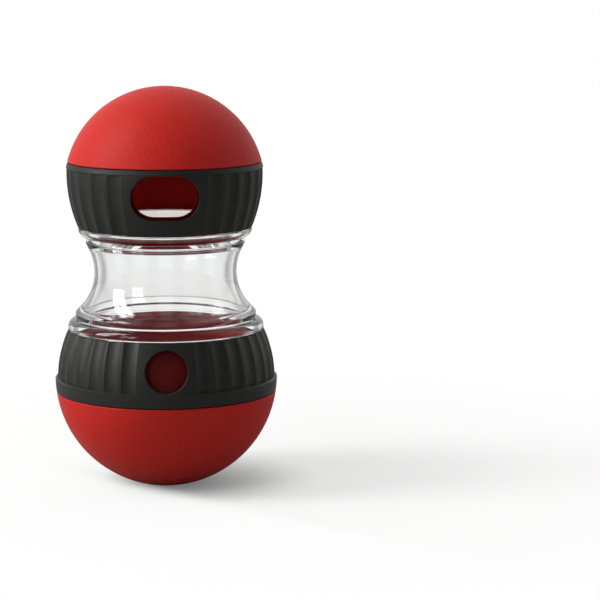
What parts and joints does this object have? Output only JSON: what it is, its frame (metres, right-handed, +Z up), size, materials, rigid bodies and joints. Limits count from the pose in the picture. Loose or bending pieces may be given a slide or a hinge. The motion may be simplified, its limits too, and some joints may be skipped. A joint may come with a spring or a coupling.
{
  "type": "rolling treat dispenser",
  "caption": "Rolling dry-food dispenser for cats: clear hourglass body with a red hollow ball at each end and black ribbed turning rings with windows.",
  "frame": {"origin": "centre of the flat foot at the bottom of the larger ball", "axes": "+Z up along the dispenser's axis to the smaller ball; -Y is the way that the rings' windows face"},
  "size_m": [0.09, 0.09, 0.1613],
  "materials": {
    "red_plastic": "fine matt moulded",
    "black_plastic": "satin moulded",
    "clear_plastic": "clear gloss moulded"
  },
  "bodies": {
    "lower_end": {"lower_dome": "red_plastic", "lower_liner": "red_plastic"},
    "lower_ring": {"lower_ring": "black_plastic"},
    "bottle": {"clear_body": "clear_plastic"},
    "upper_end": {"upper_dome": "red_plastic", "upper_liner": "red_plastic"},
    "upper_ring": {"upper_ring": "black_plastic"}
  },
  "joints": [
    {"name": "lower_ring_turn", "type": "hinge", "parent": "lower_end", "child": "lower_ring", "pos_m": [0, 0, 0.04387], "axis": [0, 0, 1], "continuous": true},
    {"name": "lower_end_unlock", "type": "hinge", "parent": "lower_end", "child": "bottle", "pos_m": [0, 0, 0.06118], "axis": [0, 0, 1], "range_deg": [0, 40]},
    {"name": "upper_end_unlock", "type": "hinge", "parent": "bottle", "child": "upper_end", "pos_m": [0, 0, 0.10618], "axis": [0, 0, 1], "range_deg": [0, 40]},
    {"name": "upper_ring_turn", "type": "hinge", "parent": "upper_end", "child": "upper_ring", "pos_m": [0, 0, 0.12087], "axis": [0, 0, 1], "continuous": true}
  ]
}
